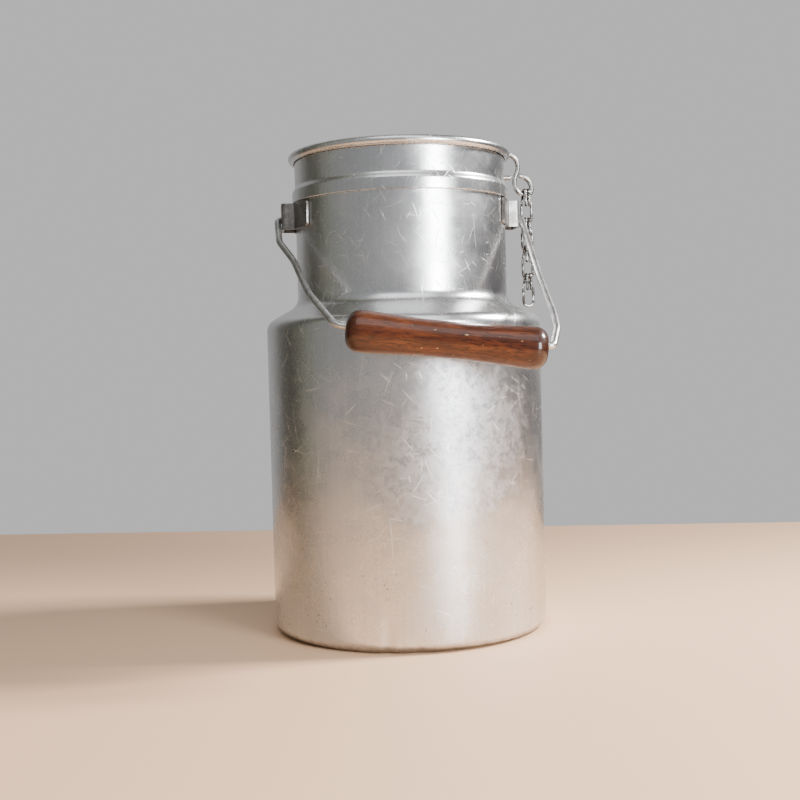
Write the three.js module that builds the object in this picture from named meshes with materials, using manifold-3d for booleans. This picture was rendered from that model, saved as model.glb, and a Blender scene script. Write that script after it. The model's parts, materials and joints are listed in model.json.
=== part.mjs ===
// Five litre aluminium milk can: drawn body, rolled neck collar, wire bail with
// a turned wooden grip, and the wire hook and short chain that tether the lid.
// Millimetres, +Z up, origin at the centre of the flat base.
// The bail swings on the X axis line; its rest pose leans forward, to -Y.
import * as THREE from 'three';
import { mergeVertices } from 'three/addons/utils/BufferGeometryUtils.js';
import Module from 'manifold-3d';

const wasm = await Module();
wasm.setup();

// ---- driving dimensions -------------------------------------------------
const SHEET = 1.5;               // aluminium sheet of the can
const FIT_GAP = 0.3;             // play left between touching pieces
const AROUND = 60;               // facets of the large round pieces

const BODY_R = 83.5;
const NECK_R = 64;
const BASE_CORNER = 6;           // rounded edge between base and wall
const SHOULDER_HIGH = 197;       // where the shoulder slope meets the neck
const SHOULDER_LOW = 186.2;      // where it meets the wall
const SHOULDER_SLOPE = 30;       // degrees, used to keep the sheet even
const SHOULDER_NECK_FILLET = 9;
const SHOULDER_WALL_FILLET = 8;
const NECK_TOP = 264.4;          // upper end of the body's own neck

const SKIRT_BOTTOM = 258.3;      // lower edge of the collar's lap skirt
const SKIRT_TOP = 265.2;         // where the skirt joggles in to the neck
const JOGGLE_TOP = 268;
const CURL_R = 2.6;              // outside radius of the rolled rim
const CURL_SHEET = 1.2;
const CURL_Z = 285.6;
const CURL_MID_R = NECK_R - SHEET + CURL_R;
const CURL_END = -100;           // degrees around the curl where the sheet stops
const RIM_WIRE_R = 1.1;

const EAR_HOLE_Z = 249.2;
const EAR_BOTTOM = 242.3;
const EAR_TOP = 257.9;
const EAR_BOX_OUT = 72.8;        // outer wall of the ear from the can's axis
const EAR_BOX_HALF = 10;
const EAR_FLANGE_END = 26.8;     // degrees from the ear's middle
const EAR_TIP_ROUND = 3;
const EAR_HOLE_R = 2.6;
const EAR_FOOT_ROUND = 1.5;      // bend where flange turns into box, outside
const EAR_BOX_ROUND = 2.6;       // bend of the box's outer corners, outside
const DRILL_REACH = 8;           // how far a drill runs either side of the wall

const BAIL_TILT = 52.6;          // degrees from straight down to the front
const BAIL_WIRE_R = 1.95;
const BAIL_PIN_END = 66.6;
const GRIP_LEFT = [-42, 112];    // grip's ends: across and down the bail's plane
const GRIP_RIGHT = [64.4, 134.1];
const BAIL_LINE = [              // across, down, bend radius; bent askew by use
  [-BAIL_PIN_END, 0],
  [-75.2, 0, 3.6],
  [-74.8, 25.5, 15],
  [-67.2, 46, 50],
  [-60.6, 79, 45],
  [-47.6, 110.84, 10],
  GRIP_LEFT,
  GRIP_RIGHT,
  [67, 134.64, 3],
  [72.8, 118.2, 16],
  [73.9, 103, 35],
  [73.4, 68, 100],
  [75.2, 0, 3.6],
  [BAIL_PIN_END, 0],
];
const GRIP_END_R = 11.6;
const GRIP_WAIST_R = 10;
const GRIP_EDGE = 7.4;
const GRIP_SAG = 1.9;            // the loose grip hangs this far off its wire
const GRIP_BORE_R = BAIL_WIRE_R + FIT_GAP + GRIP_SAG;

const HOOK_ANGLE = 7;            // degrees behind the right ear
const HOOK_WIRE_R = 1.5;
const HOOK_MID = [66.6, 282.4];  // centre of the upper loop: out, up
const HOOK_HOLE_R = 2.25;
const HOOK_HOLE_Z = 275.2;
const LINK_PIVOT = [82, 264.7];
const HOOK_STUB = [              // out, up: the wire's end outside the collar
  [72, 274.85],
  [69, 274.8],
  [66.3, 274.85],
];
const HOOK_EYE = [               // out, up: from the rim down to the closed eye
  [71, 289.6],
  [73.9, 287.8],
  [76, 285.4],
  [76.9, 282.3],
  [76.5, 279],
  [75.1, 275.6],
  [74.5, 272],
  [75.2, 268.5],
  [77.2, 265.7],
  [79.5, 264.7],
  LINK_PIVOT,
  [84.3, 264.9],
  [85.7, 266.9],
  [85.5, 269.8],
  [84, 272.6],
  [82.3, 274.4],
  [80, 275.6],
  [77.6, 276.3],
];
const LINK_COUNT = 4;
const LINK_PITCH = 17.5;
const LINK_WIRE_R = 0.85;
const LINK_PLAY = 0.45;          // between a link and the wire it hangs on
const LINK_HALF = 3.2;           // half of a link's width between wire centres
const LINK_TOP_HALF = 1.2;       // and between its two top crooks
const LINK_TUCK = 8;             // how far the wire's ends run down behind
const LINK_LEG = [               // half a link: across, up, forward
  [LINK_TOP_HALF + 0.6, -2.5, 1.8],
  [LINK_HALF - 0.3, -6, 0.4],
  [LINK_HALF, -8, 0],
  [LINK_HALF, 3.2 - LINK_PITCH, 0],
  [LINK_HALF - 0.25, 1.5 - LINK_PITCH, 0],
  [LINK_HALF - 0.8, 0.5 - LINK_PITCH, 0],
  [LINK_HALF - 1.8, -LINK_PITCH, 0],
];

const finish = (color, roughness, metalness) =>
  new THREE.MeshStandardMaterial({ color, roughness, metalness });
const ALUMINIUM = finish(0xb6b8b6, 0.35, 1);
const ALUMINIUM_TRIM = finish(0xa9aba9, 0.4, 1);
const GALVANISED = finish(0x8f9295, 0.45, 1);
const CHAIN_WIRE = finish(0x9a9a96, 0.4, 1);
const VARNISHED_WOOD = finish(0x6b3320, 0.3, 0);

// ---- shared builders ----------------------------------------------------
const rad = THREE.MathUtils.degToRad;

/** Round the corners [x, y, radius] of an open line; returns its points. */
function rounded(corners, stepDeg = 18) {
  const points = [];
  corners.forEach(([x, y, radius = 0], i) => {
    const here = new THREE.Vector2(x, y);
    if (!radius || i === 0 || i === corners.length - 1) {
      points.push(here);
      return;
    }
    const before = new THREE.Vector2(...corners[i - 1].slice(0, 2)).sub(here).normalize();
    const after = new THREE.Vector2(...corners[i + 1].slice(0, 2)).sub(here).normalize();
    const opening = Math.acos(THREE.MathUtils.clamp(before.dot(after), -1, 1));
    const start = here.clone().addScaledVector(before, radius / Math.tan(opening / 2));
    const middle = before.clone().add(after).normalize();
    const centre = here.clone().addScaledVector(middle, radius / Math.sin(opening / 2));
    const turn = (Math.PI - opening) * Math.sign(after.cross(before));
    const steps = Math.max(2, Math.ceil(Math.abs(turn) / rad(stepDeg)));
    for (let k = 0; k <= steps; k += 1) {
      points.push(start.clone().rotateAround(centre, (turn * k) / steps));
    }
  });
  return points;
}

/** Spin a closed half section of (radius, height) points about the Z axis. */
function spin(profile, facets = AROUND) {
  return new THREE.LatheGeometry(profile, facets).rotateX(Math.PI / 2);
}

function toSolid(geometry) {
  const bare = geometry.clone();
  bare.deleteAttribute('normal');
  bare.deleteAttribute('uv');
  const merged = mergeVertices(bare, 1e-4);
  const triVerts = new Uint32Array(merged.index.array);
  const vertProperties = new Float32Array(merged.attributes.position.array);
  return new wasm.Manifold(new wasm.Mesh({ numProp: 3, vertProperties, triVerts }));
}

function fromSolid(solid) {
  const { vertProperties, triVerts } = solid.getMesh();
  const geometry = new THREE.BufferGeometry();
  geometry.setAttribute('position', new THREE.BufferAttribute(vertProperties, 3));
  geometry.setIndex(new THREE.BufferAttribute(triVerts, 1));
  geometry.computeVertexNormals();
  return geometry;
}

function cut(geometry, tool) {
  return fromSolid(toSolid(geometry).subtract(toSolid(tool)));
}

/** A drill along a radius of the can, its middle `out` from the axis. */
function radialDrill(radius, angleDeg, z, out = NECK_R) {
  return new THREE.CylinderGeometry(radius, radius, 2 * DRILL_REACH, 20)
    .rotateZ(Math.PI / 2)
    .translate(out, 0, 0)
    .rotateZ(rad(angleDeg))
    .translate(0, 0, z);
}

/** A wire's centre line: its steps follow the listed points, not the length. */
class WireLine extends THREE.CatmullRomCurve3 {
  getPointAt(u, target) {
    return this.getPoint(u, target);
  }

  getTangentAt(u, target) {
    return this.getTangent(u, target);
  }
}

function wire(points, radius, sides, stepsPerSpan = 1) {
  const ring = Array.from({ length: sides }, (_, k) => {
    const angle = (2 * Math.PI * (k + 0.5)) / sides;
    return new THREE.Vector2(radius * Math.cos(angle), radius * Math.sin(angle));
  });
  return new THREE.ExtrudeGeometry(new THREE.Shape(ring), {
    steps: (points.length - 1) * stepsPerSpan,
    extrudePath: new WireLine(points, false, 'centripetal'),
  });
}

const can = new THREE.Group();
can.name = 'milk_can';

function add(name, geometry, material) {
  const mesh = new THREE.Mesh(geometry, material);
  mesh.name = name;
  can.add(mesh);
}

// ---- can body: base, wall, shoulder and neck in one sheet ---------------
/** One face of the body sheet, `inset` in from the outside, base to neck. */
function bodyLine(inset) {
  const drop = inset * Math.tan(rad(SHOULDER_SLOPE));
  return rounded([
    [0, inset],
    [BODY_R - inset, inset, BASE_CORNER - inset],
    [BODY_R - inset, SHOULDER_LOW - drop, SHOULDER_WALL_FILLET - inset],
    [NECK_R - inset, SHOULDER_HIGH - drop, SHOULDER_NECK_FILLET + inset],
    [NECK_R - inset, NECK_TOP],
  ]);
}

const bodySheet = [...bodyLine(0), ...bodyLine(SHEET).reverse()];
add('can_body', spin(bodySheet), ALUMINIUM);

// ---- neck collar: lap skirt, joggle, neck and rolled rim ----------------
/** Points of the curl from the inside, over the top, to its tucked end. */
function curlLine(radius, stepDeg = 26) {
  const sweep = 180 - CURL_END;
  const steps = Math.ceil(sweep / stepDeg);
  return Array.from({ length: steps + 1 }, (_, k) => {
    const angle = rad(180 - (sweep * k) / steps);
    return new THREE.Vector2(
      CURL_MID_R + radius * Math.cos(angle),
      CURL_Z + radius * Math.sin(angle),
    );
  });
}

const SKIRT_IN = NECK_R + FIT_GAP;
const collarInside = rounded([
  [SKIRT_IN, SKIRT_BOTTOM],
  [SKIRT_IN, SKIRT_TOP, 1.5],
  [NECK_R - SHEET, JOGGLE_TOP, 1.5],
  [NECK_R - SHEET, CURL_Z - 1],
]);
const collarOutside = rounded([
  [NECK_R, CURL_Z - 1],
  [NECK_R, JOGGLE_TOP, 2],
  [SKIRT_IN + SHEET, SKIRT_TOP, 2],
  [SKIRT_IN + SHEET, SKIRT_BOTTOM],
]);
const collarSheet = [
  ...collarInside,
  ...curlLine(CURL_R),
  ...curlLine(CURL_R - CURL_SHEET).reverse(),
  ...collarOutside,
];
collarSheet.push(collarSheet[0].clone());
const hookHole = radialDrill(HOOK_HOLE_R, HOOK_ANGLE, HOOK_HOLE_Z);
add('neck_collar', cut(spin(collarSheet.reverse()), hookHole), ALUMINIUM);

const rimCore = new THREE.TorusGeometry(CURL_MID_R, RIM_WIRE_R, 6, AROUND)
  .translate(0, 0, CURL_Z);
add('rim_wire', rimCore, GALVANISED);

// ---- ears: hat-shaped straps held to the neck by their flanges ----------
/** One face of the strap, `inset` in from its outside, tip to tip. */
function strapLine(inset) {
  const flangeR = NECK_R + FIT_GAP + SHEET - inset;
  const boxHalf = EAR_BOX_HALF - inset;
  const foot = THREE.MathUtils.radToDeg(Math.asin(boxHalf / flangeR));
  const steps = 4;
  const half = Array.from({ length: steps + 1 }, (_, k) => {
    const angle = rad(EAR_FLANGE_END + ((foot - EAR_FLANGE_END) * k) / steps);
    const round = k === steps ? EAR_FOOT_ROUND + inset : 0;
    return [flangeR * Math.cos(angle), flangeR * Math.sin(angle), round];
  });
  half.push([EAR_BOX_OUT - inset, boxHalf, EAR_BOX_ROUND - inset]);
  const mirrored = half.map(([x, y, radius]) => [x, -y, radius]).reverse();
  return rounded([...half, ...mirrored]);
}

/** The strap's elevation with its rounded flange tips, as a bar along +X. */
function strapTips() {
  const reach = (NECK_R + FIT_GAP + SHEET) * Math.sin(rad(EAR_FLANGE_END));
  const plate = rounded([
    [0, EAR_BOTTOM],
    [reach, EAR_BOTTOM, EAR_TIP_ROUND],
    [reach, EAR_TOP, EAR_TIP_ROUND],
    [-reach, EAR_TOP, EAR_TIP_ROUND],
    [-reach, EAR_BOTTOM, EAR_TIP_ROUND],
    [0, EAR_BOTTOM],
  ]);
  return new THREE.ExtrudeGeometry(new THREE.Shape(plate), {
    depth: EAR_BOX_OUT + DRILL_REACH,
    bevelEnabled: false,
  }).rotateX(Math.PI / 2).rotateZ(Math.PI / 2);
}

function buildEar(turnDeg) {
  const outline = [...strapLine(0), ...strapLine(SHEET).reverse()];
  const strap = new THREE.ExtrudeGeometry(new THREE.Shape(outline), {
    depth: EAR_TOP - EAR_BOTTOM,
    bevelEnabled: false,
  }).translate(0, 0, EAR_BOTTOM);
  const pinHole = radialDrill(EAR_HOLE_R, 0, EAR_HOLE_Z, EAR_BOX_OUT);
  const trimmed = toSolid(strap).intersect(toSolid(strapTips()));
  return fromSolid(trimmed.subtract(toSolid(pinHole))).rotateZ(rad(turnDeg));
}

add('ear_right', buildEar(0), ALUMINIUM_TRIM);
add('ear_left', buildEar(180), ALUMINIUM_TRIM);

// ---- bail and grip ------------------------------------------------------
/** A point across and down the bail's plane, hung from the ear holes. */
function bailPoint(across, down) {
  const tilt = rad(BAIL_TILT);
  return new THREE.Vector3(
    across,
    -down * Math.sin(tilt),
    EAR_HOLE_Z - down * Math.cos(tilt),
  );
}

const bailLine = rounded(BAIL_LINE, 15).map(({ x, y }) => bailPoint(x, y));
add('bail', wire(bailLine, BAIL_WIRE_R, 8), GALVANISED);

function buildGrip() {
  const sag = new THREE.Vector3(0, 0, -GRIP_SAG);
  const from = bailPoint(...GRIP_LEFT).add(sag);
  const to = bailPoint(...GRIP_RIGHT).add(sag);
  const half = from.distanceTo(to) / 2;
  const section = rounded([
    [GRIP_BORE_R, -half],
    [GRIP_END_R, -half, GRIP_EDGE],
    [GRIP_END_R, -half + 12, 15],
    [GRIP_WAIST_R, -12, 60],
    [GRIP_WAIST_R, 12, 60],
    [GRIP_END_R, half - 12, 15],
    [GRIP_END_R, half, GRIP_EDGE],
    [GRIP_BORE_R, half],
    [GRIP_BORE_R, -half],
  ]);
  const lie = new THREE.Quaternion().setFromUnitVectors(
    new THREE.Vector3(0, 0, 1),
    to.clone().sub(from).normalize(),
  );
  const middle = from.clone().add(to).multiplyScalar(0.5);
  return spin(section, 24).applyQuaternion(lie).translate(middle.x, middle.y, middle.z);
}

add('grip', buildGrip(), VARNISHED_WOOD);

// ---- lid tether: wire hook through the collar and four wire links -------
/** Stand a (out, up, sideways) line on the radius behind the right ear. */
function atHook(points) {
  return points.map(([out, up, side = 0]) =>
    new THREE.Vector3(out, side, up).applyAxisAngle(new THREE.Vector3(0, 0, 1), rad(HOOK_ANGLE)));
}

function hookLine() {
  const [midOut, midUp] = HOOK_MID;
  const wallOut = NECK_R - SHEET / 2;
  const reach = Math.hypot(wallOut - midOut, HOOK_HOLE_Z - midUp);
  const entry = Math.atan2(HOOK_HOLE_Z - midUp, wallOut - midOut);
  const over = rad(-270);
  const arcSteps = 10;
  const loop = Array.from({ length: arcSteps + 1 }, (_, k) => {
    const angle = entry + ((over - entry) * k) / arcSteps;
    return [midOut + reach * Math.cos(angle), midUp + reach * Math.sin(angle)];
  });
  return atHook([...HOOK_STUB, ...loop, ...HOOK_EYE]);
}

add('lid_hook', wire(hookLine(), HOOK_WIRE_R, 8), GALVANISED);

/** One link: two crooks over the wire above, two legs and a round bottom. */
function linkLine(index) {
  const [out, up] = LINK_PIVOT;
  const top = up - index * LINK_PITCH;
  const hangR = index === 0 ? HOOK_WIRE_R : LINK_WIRE_R;
  const over = hangR + LINK_PLAY + LINK_WIRE_R;
  const crookSteps = 4;
  const crook = Array.from({ length: crookSteps + 1 }, (_, k) => {
    const angle = (Math.PI * k) / crookSteps;
    return [LINK_TOP_HALF, over * Math.sin(angle), -over * Math.cos(angle)];
  });
  const tuck = [
    [LINK_TOP_HALF, -LINK_TUCK, -over],
    [LINK_TOP_HALF, -LINK_TUCK / 2, -over],
  ];
  const half = [...tuck, ...crook, ...LINK_LEG];
  const mirrored = half.map(([x, z, y]) => [-x, z, y]).reverse();
  return atHook([...half, ...mirrored].map(([x, z, y]) => [out + x, top + z, y]));
}

for (let index = 0; index < LINK_COUNT; index += 1) {
  add(`chain_link_${index + 1}`, wire(linkLine(index), LINK_WIRE_R, 6), CHAIN_WIRE);
}

export default can;
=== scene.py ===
"""Looks of the milk can: fine surfaces, materials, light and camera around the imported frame."""
import json
import math

import bpy
import numpy as np
from mathutils import Matrix, Vector


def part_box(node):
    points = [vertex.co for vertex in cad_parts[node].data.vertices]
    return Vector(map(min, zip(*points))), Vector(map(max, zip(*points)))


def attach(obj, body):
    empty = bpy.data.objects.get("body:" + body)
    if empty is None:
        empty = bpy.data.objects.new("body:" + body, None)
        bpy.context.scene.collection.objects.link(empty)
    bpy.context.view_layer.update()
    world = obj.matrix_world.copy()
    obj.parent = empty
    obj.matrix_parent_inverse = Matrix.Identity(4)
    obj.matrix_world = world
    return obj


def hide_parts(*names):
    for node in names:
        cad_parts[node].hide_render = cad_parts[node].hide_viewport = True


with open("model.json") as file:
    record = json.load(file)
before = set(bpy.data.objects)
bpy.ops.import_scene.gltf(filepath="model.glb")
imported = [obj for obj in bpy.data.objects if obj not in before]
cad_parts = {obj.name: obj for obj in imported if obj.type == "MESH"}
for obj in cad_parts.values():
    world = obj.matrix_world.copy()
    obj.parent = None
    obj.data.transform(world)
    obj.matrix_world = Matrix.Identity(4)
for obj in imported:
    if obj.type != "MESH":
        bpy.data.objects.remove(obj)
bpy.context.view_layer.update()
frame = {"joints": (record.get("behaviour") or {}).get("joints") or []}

MM = 0.001
UP = Vector((0, 0, 1))
TINY = 1e-6
SMOOTH_ANGLE = 35  # degrees; a sharper edge between two faces stays crisp
WIRE_SMOOTH_ANGLE = 50
EAR_SOFTEN_ANGLE = 40

# ---- sizes, in millimetres ----------------------------------------------
SHEET = 1.5
FIT_GAP = 0.3
NECK_R = 64
BASE_CORNER = 6
SHOULDER_HIGH = 197
SHOULDER_LOW = 186.2
SHOULDER_SLOPE = 30
SHOULDER_NECK_FILLET = 9
SHOULDER_WALL_FILLET = 8
SKIRT_TOP = 265.2
JOGGLE_TOP = 268
CURL_R = 2.6
CURL_SHEET = 1.2
CURL_END = -100  # degrees; where the curl's sheet stops
CURL_FOOT = 1  # the straight below the curl
JOGGLE_ROUND_IN = 2.2
JOGGLE_ROUND_OUT = 3
SKIRT_EASE = 0.25
SKIRT_BEVEL = 0.3
RIM_WIRE_R = 1.1
EAR_BOX_HALF = 10
EAR_FLANGE_END = 26.8
EAR_TIP_ROUND = 3
EAR_HOLE_R = 2.6
EAR_FOOT_ROUND = 1.5
EAR_BOX_ROUND = 2.6
EAR_EDGE_EASE = 0.22
EAR_CLEAR = 8  # how far the cutting shapes reach past the sheet
BAIL_WIRE_R = 1.92
BAIL_PIN_END = 66.8
GRIP_LEFT = (-42, 112)
GRIP_RIGHT = (64.4, 134.1)
BAIL_LINE = (  # across, down, bend radius, in the bail's own plane
    (-BAIL_PIN_END, 0),
    (-75.2, 0, 3.6),
    (-74.8, 25.5, 15),
    (-67.2, 46, 50),
    (-60.6, 79, 45),
    (-47.6, 110.84, 10),
    GRIP_LEFT,
    GRIP_RIGHT,
    (67, 134.64, 3),
    (72.8, 118.2, 16),
    (73.9, 103, 35),
    (73.4, 68, 100),
    (75.2, 0, 3.6),
    (BAIL_PIN_END, 0),
)
GRIP_END_R = 11.48
GRIP_WAIST_R = 9.95
GRIP_EDGE = 7.4
GRIP_SWELL = 12  # length of the full part at each end
GRIP_SWELL_ROUND = 15
GRIP_WAIST_HALF = 12
GRIP_WAIST_ROUND = 60
GRIP_BORE_R = 4.15
HOOK_WIRE_R = 1.36
HOOK_HANG_R = 1.5  # the first link hangs clear of this radius
HOOK_HOLE_R = 2.15
HOOK_HOLE_DROP = 7.2  # the hole's height below the middle of the hook's round loop
HOOK_LOOP_END = -270  # degrees; the round loop runs on from its entry to here
HOOK_ENTRY = (-3.35, -7.2)  # out and up from the middle of the hook's round loop
HOOK_STUB = ((5.4, -7.55), (2.4, -7.6), (-0.3, -7.55))
HOOK_EYE = (
    (4.4, 7.2), (7.3, 5.4), (9.4, 3), (10.3, -0.1), (9.9, -3.4), (8.5, -6.8),
    (7.9, -10.4), (8.6, -13.9), (10.6, -16.7), (12.9, -17.7), (15.4, -17.7),
    (17.7, -17.5), (19.0, -15.5), (18.8, -12.6), (17.4, -9.8), (15.7, -8),
    (13.4, -6.8), (11, -6.1),
)
LINK_PITCH = 17.5
LINK_WIRE_R = 0.85
LINK_SHOWN_R = 0.833
LINK_HALF = 3.2
LINK_TOP_HALF = 1.2
LINK_PLAY = 0.45
LINK_TUCK = 8
LINK_LEG = (  # narrower than the link, down from its pivot, forward
    (1.4, 2.5, 1.8),
    (0.3, 6, 0.4),
    (0, 8, 0),
)
LINK_FOOT = ((0, 3.2), (0.25, 1.5), (0.8, 0.5), (1.8, 0))  # narrower, up from the bottom

CAN_FACETS = 288
RIM_FACETS = 144
RIM_SIDES = 12
DRILL_REACH = 8
DRILL_FACETS = 32
GRIP_FACETS = 96
LONGEST_STEP = 3
GRIP_STEP = 2
FLANGE_STEPS = 12
EAR_ROUND_STEP = 12  # degrees of bend for each step of a rounded corner
BAIL_SIDES = 24
HOOK_SIDES = 20
LOOP_STEPS = 14
HOOK_SPAN_STEPS = 5
CROOK_STEPS = 8
LINK_SPAN_STEPS = 4
LINK_SIDES = 14

BODY_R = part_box("can_body")[1][0] / MM
NECK_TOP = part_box("can_body")[1][2] / MM
SKIRT_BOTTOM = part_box("neck_collar")[0][2] / MM
CURL_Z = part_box("neck_collar")[1][2] / MM - CURL_R
CURL_MID_R = NECK_R - SHEET + CURL_R
EAR_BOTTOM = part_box("ear_right")[0][2] / MM
EAR_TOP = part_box("ear_right")[1][2] / MM
EAR_BOX_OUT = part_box("ear_right")[1][0] / MM
JOINTS = {joint["name"]: joint for joint in frame["joints"]}


# ---- mesh helpers -------------------------------------------------------
def rounded(corners, step=6.0):
    """Points of an open line whose corners (x, y, radius) are rounded off."""
    points = []
    for i, corner in enumerate(corners):
        here = Vector(corner[:2])
        radius = corner[2] if len(corner) > 2 else 0
        if not radius or i in (0, len(corners) - 1):
            points.append(here)
            continue
        before = (Vector(corners[i - 1][:2]) - here).normalized()
        after = (Vector(corners[i + 1][:2]) - here).normalized()
        opening = before.angle(after)
        start = here + before * radius / math.tan(opening / 2)
        centre = here + (before + after).normalized() * radius / math.sin(opening / 2)
        turn = (math.pi - opening) * math.copysign(1, after.cross(before))
        steps = max(2, math.ceil(math.degrees(abs(turn)) / step))
        for k in range(steps + 1):
            arm = (start - centre).to_3d()
            arm.rotate(Matrix.Rotation(turn * k / steps, 3, "Z"))
            points.append(centre + arm.to_2d())
    return points


def divided(points, longest):
    """The same line with no step longer than `longest`."""
    out = [points[0]]
    for a, b in zip(points, points[1:]):
        steps = max(1, math.ceil((b - a).length / longest))
        out.extend(a.lerp(b, k / steps) for k in range(1, steps + 1))
    return out


def make_object(name, vertices, faces, smooth_angle=SMOOTH_ANGLE):
    mesh = bpy.data.meshes.new(name)
    mesh.from_pydata([tuple(v) for v in vertices], [], faces)
    mesh.validate()
    mesh.update()
    piece = bpy.data.objects.new(name, mesh)
    bpy.context.scene.collection.objects.link(piece)
    mesh.shade_smooth()
    mesh.set_sharp_from_angle(angle=math.radians(smooth_angle))
    return piece


def spin(name, profile, facets, place=None, shift=None, smooth_angle=SMOOTH_ANGLE):
    """Spin (radius, height) millimetre points about Z; an open line meets the axis."""
    closed = (profile[0] - profile[-1]).length < TINY
    rings = profile[:-1] if closed else profile
    vertices = []
    starts = []
    for point in rings:
        starts.append(len(vertices))
        if point.x < TINY:
            vertices.append(Vector((0, 0, point.y)))
            continue
        for k in range(facets):
            angle = 2 * math.pi * k / facets
            radius = point.x + (shift(angle, point.y) if shift else 0)
            vertices.append(Vector((radius * math.sin(angle), -radius * math.cos(angle), point.y)))
    faces = []
    count = len(rings)
    for i in range(count if closed else count - 1):
        a, b = starts[i], starts[(i + 1) % count]
        tip_a, tip_b = rings[i].x < TINY, rings[(i + 1) % count].x < TINY
        for k in range(facets):
            n = (k + 1) % facets
            lower = [a] if tip_a else [a + k, a + n]
            upper = [b] if tip_b else [b + n, b + k]
            face = lower + upper
            if len(face) > 2:
                faces.append(face)
    matrix = (place or Matrix.Identity(4)) @ Matrix.Scale(MM, 4)
    piece = make_object(name, [matrix @ v for v in vertices], faces, smooth_angle)
    local = piece.data.attributes.new("local", "FLOAT_VECTOR", "POINT")
    local.data.foreach_set("vector", np.array([c * MM for v in vertices for c in v], dtype=float))
    return piece


def smooth_line(points, per_span):
    """A centripetal spline through the points, three-dimensional."""
    ends = [points[0] * 2 - points[1], *points, points[-1] * 2 - points[-2]]
    line = []
    for a, b, c, d in zip(ends, ends[1:], ends[2:], ends[3:]):
        t1 = math.sqrt((b - a).length)
        t2 = t1 + math.sqrt((c - b).length)
        t3 = t2 + math.sqrt((d - c).length)
        for k in range(per_span):
            t = t1 + (t2 - t1) * k / per_span
            ab = a.lerp(b, t / t1)
            bc = b.lerp(c, (t - t1) / (t2 - t1))
            cd = c.lerp(d, (t - t2) / (t3 - t2))
            abc = ab.lerp(bc, t / t2)
            bcd = bc.lerp(cd, (t - t1) / (t3 - t1))
            line.append(abc.lerp(bcd, (t - t1) / (t2 - t1)))
    line.append(points[-1])
    return line


END_EASE = 0.35  # length of a wire's eased end, against its radius
END_SHARE = 0.72  # radius of the eased end's face, against the wire's


def wire(name, line, radius, sides):
    """A round wire along a line of points in metres, with eased ends."""
    ease = END_EASE * radius
    first = line[0] + (line[1] - line[0]).normalized() * ease
    last = line[-1] + (line[-2] - line[-1]).normalized() * ease
    path = [line[0], first, *line[1:-1], last, line[-1]]
    sizes = [END_SHARE, *[1.0] * (len(path) - 2), END_SHARE]
    tangents = []
    for i in range(len(path)):
        span = path[min(i + 1, len(path) - 1)] - path[max(i - 1, 0)]
        tangents.append(span.normalized())
    side = tangents[0].orthogonal().normalized()
    vertices = []
    for i, point in enumerate(path):
        if i:
            side.rotate(tangents[i - 1].rotation_difference(tangents[i]))
        other = tangents[i].cross(side)
        for k in range(sides):
            angle = 2 * math.pi * k / sides
            arm = side * math.cos(angle) + other * math.sin(angle)
            vertices.append(point + arm * radius * sizes[i])
    faces = []
    for i in range(len(path) - 1):
        for k in range(sides):
            n = (k + 1) % sides
            faces.append([i * sides + k, i * sides + n, (i + 1) * sides + n, (i + 1) * sides + k])
    faces.append(list(range(sides))[::-1])
    faces.append([(len(path) - 1) * sides + k for k in range(sides)])
    return make_object(name, vertices, faces, WIRE_SMOOTH_ANGLE)


def fit(piece, body, slot, material, *nodes):
    """Dress a piece, ride it on its body and let it stand for CAD nodes."""
    piece.data.materials.clear()
    piece.data.materials.append(material)
    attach(piece, body)
    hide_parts(*nodes)
    return piece


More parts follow.
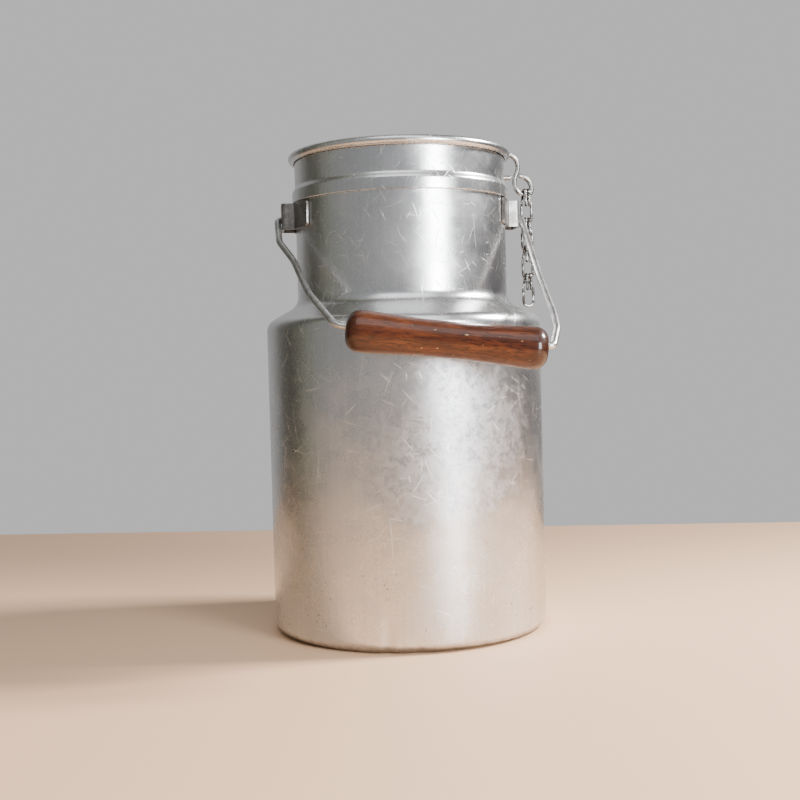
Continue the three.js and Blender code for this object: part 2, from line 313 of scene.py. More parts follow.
# ---- shader helpers -----------------------------------------------------
class Shader:
    """One material's nodes; each call adds a node and returns its output."""

    def __init__(self, name):
        self.material = bpy.data.materials.new(name)
        self.material.use_nodes = True
        self.tree = self.material.node_tree
        self.surface = self.tree.nodes["Principled BSDF"]

    def feed(self, socket, value):
        if isinstance(value, bpy.types.NodeSocket):
            self.tree.links.new(value, socket)
        else:
            socket.default_value = value

    def node(self, kind, inputs, **settings):
        made = self.tree.nodes.new("ShaderNode" + kind)
        for key, value in settings.items():
            setattr(made, key, value)
        for key, value in inputs.items():
            self.feed(made.inputs[key], value)
        return made

    def math(self, operation, *values):
        return self.node("Math", dict(enumerate(values)), operation=operation).outputs[0]

    def noise(self, vector, scale, detail=4.0, roughness=0.55, distortion=0.0):
        inputs = {"Vector": vector, "Scale": scale, "Detail": detail}
        inputs |= {"Roughness": roughness, "Distortion": distortion}
        return self.node("TexNoise", inputs).outputs["Fac"]

    def remap(self, value, low, high, to_low=0.0, to_high=1.0):
        inputs = {"Value": value, "From Min": low, "From Max": high}
        inputs |= {"To Min": to_low, "To Max": to_high}
        return self.node("MapRange", inputs, interpolation_type="SMOOTHSTEP").outputs[0]

    def blend(self, factor, a, b):
        made = self.node("Mix", {}, data_type="RGBA")
        self.feed(made.inputs[0], factor)
        self.feed(made.inputs[6], a)
        self.feed(made.inputs[7], b)
        return made.outputs[2]

    def mapped(self, vector, scale=(1, 1, 1), turn=0.0, move=(0, 0, 0)):
        inputs = {"Vector": vector, "Scale": scale, "Location": move}
        inputs["Rotation"] = (0, 0, math.radians(turn))
        return self.node("Mapping", inputs).outputs[0]

    def place(self):
        return self.node("TexCoord", {}).outputs["Object"]

    def unrolled(self):
        """The can's sheet laid flat (arc, height, radius), then its height and arc alone."""
        x, y, z = self.node("SeparateXYZ", {0: self.place()}).outputs
        angle = self.math("ARCTAN2", x, self.math("MULTIPLY", y, -1.0))
        arc = self.math("MULTIPLY", angle, BODY_R * MM)
        across = self.math("MULTIPLY", x, x)
        radius = self.math("SQRT", self.math("MULTIPLY_ADD", y, y, across))
        return self.node("CombineXYZ", {0: arc, 1: z, 2: radius}).outputs[0], z, arc

    def scratches(self, vector, size, lean, spread, width, share, seed):
        """Straight fine scratches, one in a share of the cells, each at its own angle."""
        spot = self.mapped(vector, scale=(1 / size, 1 / size, 0), move=(seed, 2 * seed, 0))
        cells = self.node("TexVoronoi", {"Vector": spot, "Scale": 1.0}, voronoi_dimensions="2D")
        inputs = {0: spot, 1: cells.outputs["Position"]}
        reach = self.node("VectorMath", inputs, operation="SUBTRACT").outputs[0]
        right, up, _ = self.node("SeparateXYZ", {0: reach}).outputs
        pick, keep, bow = self.node("SeparateColor", {0: cells.outputs["Color"]}).outputs
        first = math.radians(lean - spread / 2)
        angle = self.math("MULTIPLY_ADD", pick, math.radians(spread), first)
        sine = self.math("SINE", angle)
        cosine = self.math("COSINE", angle)
        along = self.math("MULTIPLY_ADD", right, cosine, self.math("MULTIPLY", up, sine))
        fall = self.math("MULTIPLY", up, cosine)
        off = self.math("SUBTRACT", self.math("MULTIPLY", right, sine), fall)
        square = self.math("MULTIPLY", along, along)
        curve = self.math("MULTIPLY", square, self.centred(bow))
        off = self.math("ABSOLUTE", self.math("MULTIPLY_ADD", curve, 0.5, off))
        line = self.remap(off, 0.0, width, 1.0, 0.0)
        fade = self.remap(self.math("ABSOLUTE", along), 0.15, 0.5, 1.0, 0.0)
        kept = self.remap(keep, 1 - share, 1 - share + 0.2)
        return self.math("MULTIPLY", self.math("MULTIPLY", line, fade), kept)

    def centred(self, value):
        return self.math("SUBTRACT", value, 0.5)

    def layered(self, start, *layers):
        """A number with (mask, weight) layers added to it."""
        for mask, weight in layers:
            start = self.math("MULTIPLY_ADD", mask, weight, start)
        return start

    def painted(self, colour, *coats):
        """A colour with (share, colour) coats laid over it in turn."""
        for share, tone in coats:
            colour = self.blend(share, colour, tone)
        return colour

    def oval(self, arc, height, spot):
        """Squared distance from a spot's middle, 1 at its edge."""
        middle, level, half_width, half_height = spot
        across = self.math("DIVIDE", self.math("SUBTRACT", arc, middle), half_width)
        down = self.math("DIVIDE", self.math("SUBTRACT", height, level), half_height)
        return self.math("MULTIPLY_ADD", across, across, self.math("MULTIPLY", down, down))

    def finish(self, colour, roughness, metallic, bump=None, distance=0.0002, strength=1.0):
        self.feed(self.surface.inputs["Base Color"], colour)
        self.feed(self.surface.inputs["Roughness"], roughness)
        self.surface.inputs["Metallic"].default_value = metallic
        if bump is not None:
            inputs = {"Height": bump, "Distance": distance, "Strength": strength}
            normal = self.node("Bump", inputs).outputs[0]
            self.feed(self.surface.inputs["Normal"], normal)
        return self.material


def grey(level, warmth=0.0):
    return (level * (1 + warmth), level, level * (1 - 1.4 * warmth), 1)


# middle round the can from the front, height, half width, half height, in metres
DULL_PATCH = (0.030, 0.116, 0.054, 0.050)
DARK_CLOUD = (0.000, 0.114, 0.022, 0.032)
SCRATCHES = (  # cell in metres, lean and spread in degrees, width and share of the cells, seed
    (0.034, 95, 30, 0.011, 0.55, 0),
    (0.017, 40, 70, 0.020, 0.60, 3),
    (0.013, -35, 80, 0.024, 0.60, 7),
    (0.007, 60, 170, 0.040, 0.45, 11),
)
BARE = grey(0.78)
BARE_SHADE = grey(0.70)
DRAW_LINES = grey(0.62)
GRAIN_TONE = grey(0.56)
OXIDE = (0.50, 0.53, 0.58, 1)
SPECKS = (0.22, 0.24, 0.28, 1)
CLOUD_TONE = grey(0.40)
SCRATCHED = grey(0.95)
PITTED = grey(0.12, 0.12)
# painted contact shadow: the dark tone laid along the base where it meets the floor
CONTACT_SHADOW_TONE = grey(0.12, 0.14)


def can_aluminium(name, seed):
    """Worn satin aluminium: rubbed bright, dull in one big patch, scratched, pitted low down."""
    s = Shader(name)
    sheet, z, arc = s.unrolled()
    around = s.place()
    moved = s.mapped(around, move=(seed, 0, seed))
    cloud = s.noise(moved, 22.0, 5.0, 0.6)
    mottle = s.noise(moved, 150.0, 6.0, 0.72)
    speck = s.noise(moved, 330.0, 6.0, 0.8)
    grain = s.noise(moved, 700.0, 5.0, 0.75)
    swell = s.noise(moved, 26.0, 2.0)
    drawn = s.noise(s.mapped(sheet, scale=(420, 9, 40), move=(seed, seed, 0)), 1.0, 4.0, 0.6)

    # the dull patch to the right of the front, a darker cloud at its left edge, and their specks
    reach = s.oval(arc, z, DULL_PATCH)
    reach = s.layered(reach, (s.centred(cloud), 5.0), (s.centred(mottle), 2.4))
    patch = s.remap(reach, -0.1, 1.5, 1.0, 0.0)
    reach = s.layered(s.oval(arc, z, DARK_CLOUD), (s.centred(mottle), 3.0))
    shade = s.remap(reach, 0.0, 1.6, 1.0, 0.0)
    dull = s.math("MAXIMUM", patch, s.math("MULTIPLY", s.remap(cloud, 0.40, 0.70), 0.35))
    speckle = s.layered(s.math("MULTIPLY", mottle, 0.45), (speck, 0.55))
    speckle = s.remap(speckle, 0.46, 0.58)
    stain = s.math("MULTIPLY", s.math("MAXIMUM", patch, shade), speckle)

    # scratches, rubbed away here and there
    marks = 0.0
    for *shape, step in SCRATCHES:
        marks = s.math("MAXIMUM", marks, s.scratches(sheet, *shape, seed + step))
    rubbed = s.noise(s.mapped(moved, move=(3, 1, 2)), 30.0, 3.0)
    marks = s.math("MULTIPLY", marks, s.remap(rubbed, 0.38, 0.60, 0.25, 1.0))

    # small dark pits, mostly near the base, and a painted contact shadow where the base meets the
    # floor
    dots = s.node("TexVoronoi", {"Vector": around, "Scale": 300.0}).outputs["Distance"]
    pits = s.remap(dots, 0.12, 0.20, 1.0, 0.0)
    pits = s.math("MULTIPLY", pits, s.remap(s.noise(around, 60.0, 2.0), 0.56, 0.60))
    pits = s.math("MULTIPLY", pits, s.remap(z, 0.0, 0.085, 1.0, 0.10))
    contact_shadow = s.remap(s.layered(z, (mottle, -0.006)), -0.002, 0.0025, 1.0, 0.0)

    colour = s.painted(
        BARE_SHADE,
        (s.remap(cloud, 0.3, 0.7), BARE),
        (s.remap(drawn, 0.35, 0.65, 0.0, 0.35), DRAW_LINES),
        (s.remap(grain, 0.38, 0.62, 0.0, 0.4), GRAIN_TONE),
        (s.math("MULTIPLY", dull, 0.5), OXIDE),
        (s.math("MULTIPLY", stain, 0.75), SPECKS),
        (s.math("MULTIPLY", shade, 0.30), CLOUD_TONE),
        (s.math("MULTIPLY", marks, 0.8), SCRATCHED),
        (s.math("MULTIPLY", pits, 0.8), PITTED),
        (s.math("MULTIPLY", contact_shadow, 0.7), CONTACT_SHADOW_TONE),
    )
    rough = s.layered(0.21, (cloud, 0.08), (dull, 0.20), (marks, 0.22),
                      (s.centred(mottle), 0.10), (s.centred(grain), 0.12))
    height = s.layered(swell, (mottle, 0.04), (s.math("MULTIPLY", grain, dull), 0.03),
                       (grain, 0.008), (drawn, 0.015), (marks, -0.05), (pits, -0.10))
    return s.finish(colour, rough, 1.0, height, 0.0008, 0.8)


def ear_aluminium():
    """Pressed strap: duller than the can, darkened by handling."""
    s = Shader("ear_aluminium")
    around = s.place()
    cloud = s.noise(around, 120.0, 5.0, 0.65)
    fine = s.noise(around, 900.0, 3.0, 0.6)
    worn, handled, scuffed = grey(0.30, 0.015), grey(0.18, 0.05), grey(0.50)
    scuffs = s.remap(fine, 0.56, 0.68, 0.0, 0.5)
    colour = s.painted(worn, (s.remap(cloud, 0.40, 0.62), handled), (scuffs, scuffed))
    rough = s.layered(0.28, (cloud, 0.22))
    height = s.layered(cloud, (fine, 0.12))
    return s.finish(colour, rough, 1.0, height, 0.0003, 0.6)


def galvanised(name, level):
    """Dull zinc on drawn wire: mottled grey and scuffs, with a fine grain in its roughness and bumps.
    """
    s = Shader(name)
    around = s.place()
    cloud = s.noise(around, 110.0, 4.0, 0.65)
    fine = s.noise(around, 1100.0, 3.0, 0.6)
    scuff = s.remap(s.noise(around, 320.0, 4.0, 0.7), 0.56, 0.64)
    dark, bright = grey(0.64 * level, 0.02), grey(1.25 * level)
    scuffs = s.math("MULTIPLY", scuff, 0.6)
    colour = s.painted(grey(level), (s.remap(cloud, 0.38, 0.62), dark), (scuffs, bright))
    rough = s.layered(0.24, (scuff, -0.10), (fine, 0.2))
    height = s.layered(cloud, (fine, 0.4))
    return s.finish(colour, rough, 1.0, height, 0.00015, 0.5)


def chain_steel():
    """Wire links with dark tarnish."""
    s = Shader("chain_wire")
    around = s.place()
    cloud = s.noise(around, 300.0, 4.0, 0.6)
    tarnish = s.remap(cloud, 0.40, 0.56)
    bare, tarnished = grey(0.34, 0.01), grey(0.05, 0.08)
    colour = s.blend(tarnish, bare, tarnished)
    rough = s.layered(0.2, (tarnish, 0.2))
    return s.finish(colour, rough, 1.0, cloud, 0.0001, 0.5)


WOOD_RED = (0.050, 0.0095, 0.0018, 1)
WOOD_TAN = (0.128, 0.032, 0.0062, 1)
WOOD_DARK = (0.018, 0.004, 0.001, 1)
WOOD_BLOTCH = (0.050, 0.011, 0.003, 1)
WOOD_CHIP = (0.62, 0.42, 0.22, 1)
VARNISH = {
    "Specular IOR Level": 0.1,
    "Coat Weight": 0.85,
    "Coat Roughness": 0.16,
    "Coat IOR": 1.5,
}


def grip_wood():
    """Turned hardwood under a red-brown varnish, darker at its ends: partly dark end grain, partly
    painted shade.
    """
    s = Shader("grip_wood")
    place = s.node("Attribute", {}, attribute_name="local").outputs["Vector"]
    split = s.node("SeparateXYZ", {0: place})
    along = s.math("ABSOLUTE", split.outputs[2])
    bands = s.noise(s.mapped(place, scale=(1, 1, 0.12)), 300.0, 5.0, 0.7, 0.4)
    pores = s.noise(s.mapped(place, scale=(1, 1, 0.13)), 1300.0, 3.0, 0.6)
    chips = s.noise(s.mapped(place, scale=(1, 1, 0.4)), 620.0, 1.0)
    chips = s.remap(chips, 0.745, 0.77)
    blotch = s.noise(place, 45.0, 4.0, 0.6)
    # the ends are painted darker: partly dark end grain, partly painted shade
    ends = s.remap(s.layered(along, (blotch, 0.014)), 0.046, 0.062)
    colour = s.painted(
        WOOD_RED,
        (s.remap(bands, 0.36, 0.66), WOOD_TAN),
        (s.remap(pores, 0.48, 0.62, 0.0, 0.8), WOOD_DARK),
        (s.remap(blotch, 0.44, 0.66, 0.0, 0.5), WOOD_BLOTCH),
        (s.math("MULTIPLY", chips, 0.5), WOOD_CHIP),
        (s.math("MULTIPLY", ends, 0.75), WOOD_DARK),
    )
    rough = s.layered(0.36, (blotch, 0.15))
    height = s.layered(bands, (pores, 0.5))
    for socket, value in VARNISH.items():
        s.surface.inputs[socket].default_value = value
    return s.finish(colour, rough, 0.0, height, 0.0006, 0.8)


def painted_falloff(name, axis, span, near, far, roughness):
    """A plain paint with painted light falloff: it darkens slowly along one axis of the room, as if
    less lit there.
    """
    s = Shader(name)
    along = s.node("SeparateXYZ", {0: s.place()}).outputs[axis]
    return s.finish(s.blend(s.remap(along, *span), near, far), roughness, 0.0)


# ---- can body and neck collar -------------------------------------------
DENTS = (  # degrees round from the front, height, half width, half height, depth
    (-15.8, 8, 2.0, 12, 1.7),
    (-4, 0, 3.5, 5, 1.3),
    (24, 62, 16, 22, 0.35),
    (58, 128, 12, 18, 0.3),
    (-48, 96, 18, 26, 0.3),
    (128, 70, 12, 16, 0.7),
    (-150, 140, 14, 20, 0.5),
    (178, 30, 10, 12, 0.6),
)


def dented(angle, height):
    """How far the sheet is pushed in at an angle round the can and a height."""
    depth = 0.0
    for turn, level, half_width, half_height, deepest in DENTS:
        across = (math.degrees(angle) - turn + 180) % 360 - 180
        spread = (across / half_width) ** 2 + ((height - level) / half_height) ** 2
        depth += deepest * math.exp(-spread)
    return -depth


def body_line(inset):
    drop = inset * math.tan(math.radians(SHOULDER_SLOPE))
    return rounded((
        (0, inset),
        (BODY_R - inset, inset, BASE_CORNER - inset),
        (BODY_R - inset, SHOULDER_LOW - drop, SHOULDER_WALL_FILLET - inset),
        (NECK_R - inset, SHOULDER_HIGH - drop, SHOULDER_NECK_FILLET + inset),
        (NECK_R - inset, NECK_TOP),
    ))


def make_can_body(material):
    profile = [*body_line(0), *body_line(SHEET)[::-1]]
    piece = spin("can_shell", divided(profile, LONGEST_STEP), CAN_FACETS, shift=dented)
    return fit(piece, "can", "can_aluminium", material, "can_body")


def curl_line(radius, step=8):
    sweep = 180 - CURL_END
    steps = math.ceil(sweep / step)
    turns = [math.radians(180 - sweep * k / steps) for k in range(steps + 1)]
    return [Vector((CURL_MID_R + radius * math.cos(t), CURL_Z + radius * math.sin(t))) for t in turns]


def make_collar(material):
    skirt = NECK_R + FIT_GAP
    bore = NECK_R - SHEET
    foot = CURL_Z - CURL_FOOT
    inside = rounded((
        (skirt, SKIRT_BOTTOM + SKIRT_EASE),
        (skirt, SKIRT_TOP, JOGGLE_ROUND_IN),
        (bore, JOGGLE_TOP, JOGGLE_ROUND_IN),
        (bore, foot),
    ))
    outside = rounded((
        (NECK_R, foot),
        (NECK_R, JOGGLE_TOP, JOGGLE_ROUND_OUT),
        (skirt + SHEET, SKIRT_TOP, JOGGLE_ROUND_OUT),
        (skirt + SHEET, SKIRT_BOTTOM + SKIRT_BEVEL),
        (skirt + SHEET - SKIRT_BEVEL, SKIRT_BOTTOM),
        (skirt + SKIRT_EASE, SKIRT_BOTTOM),
    ))
    curl = [*curl_line(CURL_R), *curl_line(CURL_R - CURL_SHEET)[::-1]]
    profile = [*inside, *curl, *outside, inside[0]]
    piece = spin("neck_collar_shell", divided(profile, LONGEST_STEP), CAN_FACETS)
    x, y, z = JOINTS["hook_swing"]["pos_m"]
    drill(piece, HOOK_HOLE_R, math.atan2(y, x), z / MM - HOOK_HOLE_DROP)
    return fit(piece, "can", "can_aluminium", material, "neck_collar")


def make_rim_wire(material):
    turns = np.linspace(0, 2 * math.pi, RIM_SIDES + 1)
    ring = [Vector((CURL_MID_R + RIM_WIRE_R * math.cos(t), CURL_Z + RIM_WIRE_R * math.sin(t)))
            for t in turns]
    ring[-1] = ring[0]
    piece = spin("rim_core", ring, RIM_FACETS)
    return fit(piece, "can", "galvanised_wire", material, "rim_wire")


def drill(piece, radius, turn, height, out=NECK_R):
    """Cut one round radial hole through a wall near `out`."""
    ends = (-DRILL_REACH, DRILL_REACH)
    rod = [Vector((r, z)) for z, r in zip((ends[0], *ends, ends[1]), (0, radius, radius, 0))]
    place = (Matrix.Rotation(turn, 4, "Z") @ Matrix.Translation((out * MM, 0, height * MM))
             @ Matrix.Rotation(math.pi / 2, 4, "Y"))
    cutter = spin("cutter", rod, DRILL_FACETS, place)
    apply_boolean(piece, cutter, "DIFFERENCE")


def apply_boolean(piece, tool, operation):
    step = piece.modifiers.new("cut", "BOOLEAN")
    step.operation = operation
    step.object = tool
    step.solver = "EXACT"
    shown = piece.evaluated_get(bpy.context.evaluated_depsgraph_get())
    baked = bpy.data.meshes.new_from_object(shown)
    piece.modifiers.clear()
    piece.data = baked
    bpy.data.objects.remove(tool)


# ---- ears ---------------------------------------------------------------
def strap_line(inset):
    """One face of the strap, `inset` in from its outside, tip to tip."""
    flange_r = NECK_R + FIT_GAP + SHEET - inset
    box_half = EAR_BOX_HALF - inset
    foot = math.degrees(math.asin(box_half / flange_r))
    half = []
    for k in range(FLANGE_STEPS + 1):
        angle = math.radians(EAR_FLANGE_END + (foot - EAR_FLANGE_END) * k / FLANGE_STEPS)
        bend = EAR_FOOT_ROUND + inset if k == FLANGE_STEPS else 0
        half.append((flange_r * math.cos(angle), flange_r * math.sin(angle), bend))
    half.append((EAR_BOX_OUT - inset, box_half, EAR_BOX_ROUND - inset))
    mirrored = [(px, -py, radius) for px, py, radius in half[::-1]]
    return rounded([*half, *mirrored], EAR_ROUND_STEP)


def prism(name, outline, low, high, turn=None):
    count = len(outline)
    turn = turn or Matrix.Identity(4)
    vertices = [turn @ Vector((p.x, p.y, z)) * MM for z in (low, high) for p in outline]
    faces = [[k, (k + 1) % count, count + (k + 1) % count, count + k] for k in range(count)]
    faces += [list(range(count))[::-1], [count + k for k in range(count)]]
    return make_object(name, vertices, faces)


def make_ear(name, turn, material):
    outline = [*strap_line(0), *strap_line(SHEET)[::-1]]
    piece = prism(name, outline[::-1], EAR_BOTTOM, EAR_TOP)
    reach = (NECK_R + FIT_GAP + SHEET) * math.sin(math.radians(EAR_FLANGE_END))
    plate = rounded((
        (0, EAR_BOTTOM),
        (reach, EAR_BOTTOM, EAR_TIP_ROUND),
        (reach, EAR_TOP, EAR_TIP_ROUND),
        (-reach, EAR_TOP, EAR_TIP_ROUND),
        (-reach, EAR_BOTTOM, EAR_TIP_ROUND),
        (0, EAR_BOTTOM),
    ), EAR_ROUND_STEP)[:-1]
    stand = Matrix.Rotation(math.pi / 2, 4, "Z") @ Matrix.Rotation(math.pi / 2, 4, "X")
    apply_boolean(piece, prism("tips", plate, 0, EAR_BOX_OUT + EAR_CLEAR, stand), "INTERSECT")
    height = JOINTS["bail_swing"]["pos_m"][2] / MM
    drill(piece, EAR_HOLE_R, 0, height, EAR_BOX_OUT)
    piece.data.transform(Matrix.Rotation(turn, 4, "Z"))
    piece.data.shade_smooth()
    piece.data.set_sharp_from_angle(angle=math.radians(SMOOTH_ANGLE))
    soften = piece.modifiers.new("soft_edges", "BEVEL")
    soften.width = EAR_EDGE_EASE * MM
    soften.segments = 2
    soften.limit_method = "ANGLE"
    soften.angle_limit = math.radians(EAR_SOFTEN_ANGLE)
    soften.harden_normals = True
    return piece


def make_ears(material):
    for side, turn in (("right", 0), ("left", math.pi)):
        ear = make_ear(f"ear_strap_{side}", turn, material)
        fit(ear, "can", "ear_aluminium", material, f"ear_{side}")


# ---- bail, grip, hook and chain -----------------------------------------
def make_bail(material):
    pivot = Vector(JOINTS["bail_swing"]["pos_m"])
    grip = JOINTS["grip_spin"]
    slope = Vector((0, grip["axis"][1], grip["axis"][2])).normalized()
    line = [pivot + Vector((p.x, 0, 0)) * MM + slope * p.y * MM for p in rounded(BAIL_LINE)]
    piece = wire("bail_wire", line, BAIL_WIRE_R * MM, BAIL_SIDES)
    return fit(piece, "bail_frame", "galvanised_wire", material, "bail")


def make_grip(material):
    joint = JOINTS["grip_spin"]
    half = (Vector(GRIP_RIGHT) - Vector(GRIP_LEFT)).length / 2
    profile = rounded((
        (GRIP_BORE_R, -half),
        (GRIP_END_R, -half, GRIP_EDGE),
        (GRIP_END_R, -half + GRIP_SWELL, GRIP_SWELL_ROUND),
        (GRIP_WAIST_R, -GRIP_WAIST_HALF, GRIP_WAIST_ROUND),
        (GRIP_WAIST_R, GRIP_WAIST_HALF, GRIP_WAIST_ROUND),
        (GRIP_END_R, half - GRIP_SWELL, GRIP_SWELL_ROUND),
        (GRIP_END_R, half, GRIP_EDGE),
        (GRIP_BORE_R, half),
        (GRIP_BORE_R, -half),
    ))
    lie = UP.rotation_difference(Vector(joint["axis"])).to_matrix().to_4x4()
    place = Matrix.Translation(joint["pos_m"]) @ lie
    piece = spin("grip_turned", divided(profile, GRIP_STEP), GRIP_FACETS, place)
    return fit(piece, "grip_roller", "grip_wood", material, "grip")


def radius_frame():
    """The middle of the hook's loop, and its outward and sideways directions."""
    joint = JOINTS["hook_swing"]
    side = -Vector(joint["axis"])
    return Vector(joint["pos_m"]), side.cross(UP).normalized(), side


def make_hook(material):
    middle, out, side = radius_frame()
    reach = math.hypot(*HOOK_ENTRY)
    entry = math.atan2(HOOK_ENTRY[1], HOOK_ENTRY[0])
    loop = []
    for k in range(LOOP_STEPS + 1):
        angle = entry + (math.radians(HOOK_LOOP_END) - entry) * k / LOOP_STEPS
        loop.append((reach * math.cos(angle), reach * math.sin(angle)))
    points = [middle + (out * a + UP * b) * MM for a, b in (*HOOK_STUB, *loop, *HOOK_EYE)]
    piece = wire("hook_wire", smooth_line(points, HOOK_SPAN_STEPS), HOOK_WIRE_R * MM, HOOK_SIDES)
    return fit(piece, "hook", "galvanised_wire", material, "lid_hook")


def link_points(hang_r):
    """Half a link and its mirror: across, up, forward of the wire it hangs on."""
    over = hang_r + LINK_PLAY + LINK_WIRE_R
    crook = []
    for k in range(CROOK_STEPS + 1):
        angle = math.pi * k / CROOK_STEPS
        crook.append((LINK_TOP_HALF, over * math.sin(angle), -over * math.cos(angle)))
    shank = [(LINK_TOP_HALF, -tuck, -over) for tuck in (LINK_TUCK, LINK_TUCK / 2)]
    leg = [(LINK_HALF - narrower, -down, ahead) for narrower, down, ahead in LINK_LEG]
    foot = [(LINK_HALF - narrower, rise - LINK_PITCH, 0) for narrower, rise in LINK_FOOT]
    half = [*shank, *crook, *leg, *foot]
    return [*half, *[(-a, b, c) for a, b, c in half[::-1]]]


def make_chain(material):
    _, out, side = radius_frame()
    for index in range(1, 5):
        pivot = Vector(JOINTS[f"link_{index}_swing"]["pos_m"])
        hang_r = HOOK_HANG_R if index == 1 else LINK_WIRE_R
        points = [pivot + (out * a + UP * b + side * c) * MM for a, b, c in link_points(hang_r)]
        line = smooth_line(points, LINK_SPAN_STEPS)
        piece = wire(f"link_wire_{index}", line, LINK_SHOWN_R * MM, LINK_SIDES)
        fit(piece, f"link_{index}", "chain_wire", material, f"chain_link_{index}")


# ---- stage, light and camera --------------------------------------------
# azimuths are in degrees round from the front, lengths in metres
CAMERA_AZIMUTH = -7.0
CAMERA_DISTANCE = 0.7215
CAMERA_HEIGHT = 0.1619
CAMERA_PITCH = -1.92
CAMERA_YAW = 0.26
CAMERA_ROLL = -1.55
LENS = 52.6
SENSOR = 36
FLOOR_BEHIND = 0.405
FLOOR_AHEAD = 0.69
FLOOR_SIDE = 0.62
FLOOR_TURN = -11.2  # the floor's far edge is a little askew to the camera
FLOOR_DROP = 0.0003
# painted light falloff on the floor: lit tone near the camera, painted shade towards the back
FLOOR_NEAR_LIT = (0.86, 0.54, 0.33, 1)
FLOOR_FAR_SHADED = (0.47, 0.30, 0.19, 1)
FLOOR_SHADE_SPAN = (-0.05, 0.36)
FLOOR_ROUGHNESS = 0.6
LAMP_AIM = Vector((0, 0, 0.15))
LAMPS = (  # name, azimuth from the camera, distance, height, size, watts, tint
    ("window", 38, 1.15, 0.32, (0.34, 0.52), 18, (0.96, 0.985, 1)),
    ("skylight", 94, 0.95, 0.9, (0.26, 0.26), 42, (1, 0.98, 0.96)),
    ("ceiling", 4, 0.9, 1.35, (1.3, 0.9), 6.5, (1, 1, 1)),
)


def around_can(azimuth, distance, height):
    turn = math.radians(azimuth)
    return Vector((distance * math.sin(turn), -distance * math.cos(turn), height))


def make_floor():
    turn = Matrix.Rotation(math.radians(FLOOR_TURN), 3, "Z")
    left, right, near, far = -FLOOR_SIDE, FLOOR_SIDE, -FLOOR_AHEAD, FLOOR_BEHIND
    corners = [(left, near), (right, near), (right, far), (left, far)]
    sheet = [turn @ Vector((x, y, -FLOOR_DROP)) for x, y in corners]
    floor = make_object("floor", sheet, [[0, 1, 2, 3]])
    paint = painted_falloff("floor_paint", 1, FLOOR_SHADE_SPAN, FLOOR_NEAR_LIT, FLOOR_FAR_SHADED, FLOOR_ROUGHNESS)
    floor.data.materials.append(paint)


def make_lamp(name, azimuth, distance, height, size, power, tint):
    data = bpy.data.lights.new(name, "AREA")
    data.shape = "RECTANGLE"
    data.size, data.size_y = size
    data.energy = power
    data.color = tint
    lamp = bpy.data.objects.new(name, data)
    bpy.context.scene.collection.objects.link(lamp)
    lamp.location = around_can(CAMERA_AZIMUTH + azimuth, distance, height)
    aim = LAMP_AIM - lamp.location
    lamp.rotation_euler = aim.to_track_quat("-Z", "Y").to_euler()


BACKDROP = (0.60, 0.595, 0.60)  # the plain colour seen behind the can
OVERHEAD = 1.25  # how bright the room is straight above, against the horizon
OVERHEAD_RISE = (0.3, 0.75)  # the upward part of a direction where that change begins and ends
SURROUND = (  # degrees round from the camera to the right, and the colour seen there
    (-180, (0.52, 0.52, 0.52)),
    (-140, (0.40, 0.40, 0.40)),
    (-124, (0.14, 0.135, 0.12)),
    (-112, (0.070, 0.068, 0.058)),
    (-100, (0.085, 0.085, 0.066)),
    (-88, (0.22, 0.23, 0.18)),
    (-70, (0.29, 0.295, 0.29)),
    (-30, (0.35, 0.36, 0.37)),
    (5, (0.41, 0.42, 0.44)),
    (25, (0.46, 0.475, 0.50)),
    (58, (0.27, 0.28, 0.30)),
    (90, (0.14, 0.145, 0.155)),
    (120, (0.10, 0.10, 0.105)),
    (150, (0.26, 0.26, 0.26)),
    (180, (0.52, 0.52, 0.52)),
)


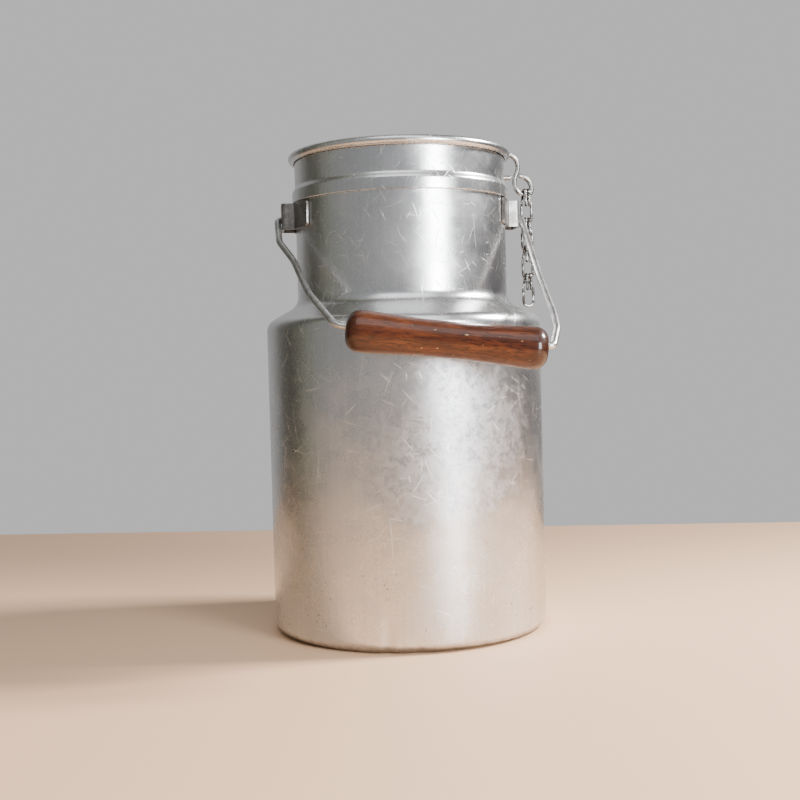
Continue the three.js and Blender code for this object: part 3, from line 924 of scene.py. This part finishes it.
def make_world():
    """A dim room, one colour for each direction round the can, behind a plain backdrop."""
    world = bpy.data.worlds.new("studio")
    bpy.context.scene.world = world
    world.use_nodes = True
    tree = world.node_tree
    make = tree.nodes.new
    link = tree.links.new
    room = tree.nodes["Background"]

    place = make("ShaderNodeTexCoord")
    turned = make("ShaderNodeMapping")
    turned.inputs["Rotation"].default_value = (0, 0, math.radians(-CAMERA_AZIMUTH))
    split = make("ShaderNodeSeparateXYZ")
    minus = make("ShaderNodeMath")
    minus.operation = "MULTIPLY"
    minus.inputs[1].default_value = -1
    angle = make("ShaderNodeMath")
    angle.operation = "ARCTAN2"
    share = make("ShaderNodeMapRange")
    share.inputs["From Min"].default_value = -math.pi
    share.inputs["From Max"].default_value = math.pi
    ramp = make("ShaderNodeValToRGB")
    paint_ramp(ramp.color_ramp.elements, SURROUND)
    link(place.outputs["Generated"], turned.inputs["Vector"])
    link(turned.outputs[0], split.inputs[0])
    link(split.outputs[1], minus.inputs[0])
    link(split.outputs[0], angle.inputs[0])
    link(minus.outputs[0], angle.inputs[1])
    link(angle.outputs[0], share.inputs["Value"])
    link(share.outputs[0], ramp.inputs[0])
    link(ramp.outputs[0], room.inputs[0])

    height = make("ShaderNodeMapRange")
    height.interpolation_type = "SMOOTHSTEP"
    limits = (*OVERHEAD_RISE, 1.0, OVERHEAD)
    for socket, value in zip(("From Min", "From Max", "To Min", "To Max"), limits):
        height.inputs[socket].default_value = value
    link(split.outputs[2], height.inputs["Value"])
    link(height.outputs[0], room.inputs[1])

    rays = make("ShaderNodeLightPath")
    backdrop = make("ShaderNodeBackground")
    backdrop.inputs[0].default_value = (*BACKDROP, 1)
    either = make("ShaderNodeMixShader")
    link(rays.outputs["Is Camera Ray"], either.inputs[0])
    link(room.outputs[0], either.inputs[1])
    link(backdrop.outputs[0], either.inputs[2])
    link(either.outputs[0], tree.nodes["World Output"].inputs[0])


def paint_ramp(stops, colours):
    """Set a ramp's stops from (degrees, colour) rows that run from -180 to 180."""
    for row, stop in zip((colours[0], colours[-1]), list(stops)):
        set_stop(stop, *row)
    for turn, colour in colours[1:-1]:
        set_stop(stops.new((turn + 180) / 360), turn, colour)


def set_stop(stop, turn, colour):
    stop.position = (turn + 180) / 360
    stop.color = (*colour, 1)


def make_camera():
    data = bpy.data.cameras.new("camera")
    data.lens = LENS
    data.sensor_width = SENSOR
    camera = bpy.data.objects.new("camera", data)
    bpy.context.scene.collection.objects.link(camera)
    camera.matrix_world = (
        Matrix.Translation(around_can(CAMERA_AZIMUTH, CAMERA_DISTANCE, CAMERA_HEIGHT))
        @ Matrix.Rotation(math.radians(CAMERA_AZIMUTH + CAMERA_YAW), 4, "Z")
        @ Matrix.Rotation(math.radians(90 + CAMERA_PITCH), 4, "X")
        @ Matrix.Rotation(math.radians(CAMERA_ROLL), 4, "Z")
    )
    bpy.context.scene.camera = camera


make_camera()
make_floor()
make_world()
for row in LAMPS:
    make_lamp(*row)

wire_zinc = galvanised("galvanised_wire", 0.62)
hook_zinc = galvanised("hook_zinc", 0.26)
ear_metal = ear_aluminium()
make_can_body(can_aluminium("can_aluminium", 1.0))
make_collar(can_aluminium("collar_aluminium", 5.0))
make_rim_wire(wire_zinc)
make_ears(ear_metal)
make_bail(wire_zinc)
make_grip(grip_wood())
make_hook(hook_zinc)
make_chain(chain_steel())
